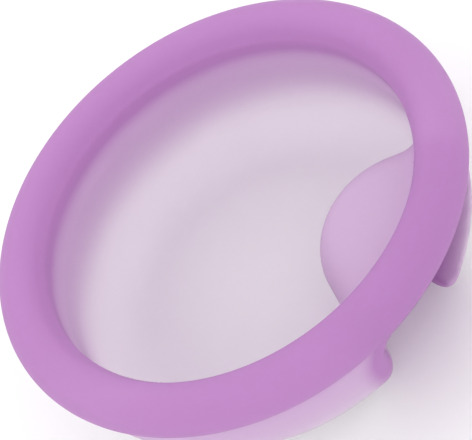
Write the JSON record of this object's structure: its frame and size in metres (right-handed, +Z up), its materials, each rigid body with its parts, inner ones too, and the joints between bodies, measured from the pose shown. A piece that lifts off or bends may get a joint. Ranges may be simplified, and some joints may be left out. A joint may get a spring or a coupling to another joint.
{
  "type": "silicone cupping cup",
  "caption": "Shallow soft silicone cup with a thick rolled rim, a thin flat-floored bowl that presses in to make suction, and a fingertip recess under the rim.",
  "frame": {"origin": "centre of the floor's underside, where the cup stands", "axes": "+Z up out of the mouth, +X and +Y across it; the fingertip recess opens towards +X -Y"},
  "size_m": [0.07, 0.07, 0.0236],
  "materials": {
    "silicone_thick": "matte, translucent",
    "silicone_thin": "matte, translucent"
  },
  "bodies": {
    "rim": {"rim_ring": "silicone_thick", "rim_shoulder": "silicone_thick", "recess_roof": "silicone_thin", "bowl_wall": "silicone_thin", "recess_wall": "silicone_thin"},
    "floor": {"floor_corner": "silicone_thin", "recess_foot": "silicone_thin", "bowl_floor": "silicone_thin"}
  },
  "joints": [
    {"name": "floor_press", "type": "slide", "parent": "rim", "child": "floor", "axis": [0, 0, 1], "range_m": [0, 0.006], "stiffness_N_per_m": 300, "springref_m": -0.001, "deforming": ["bowl_wall", "recess_wall"]}
  ]
}
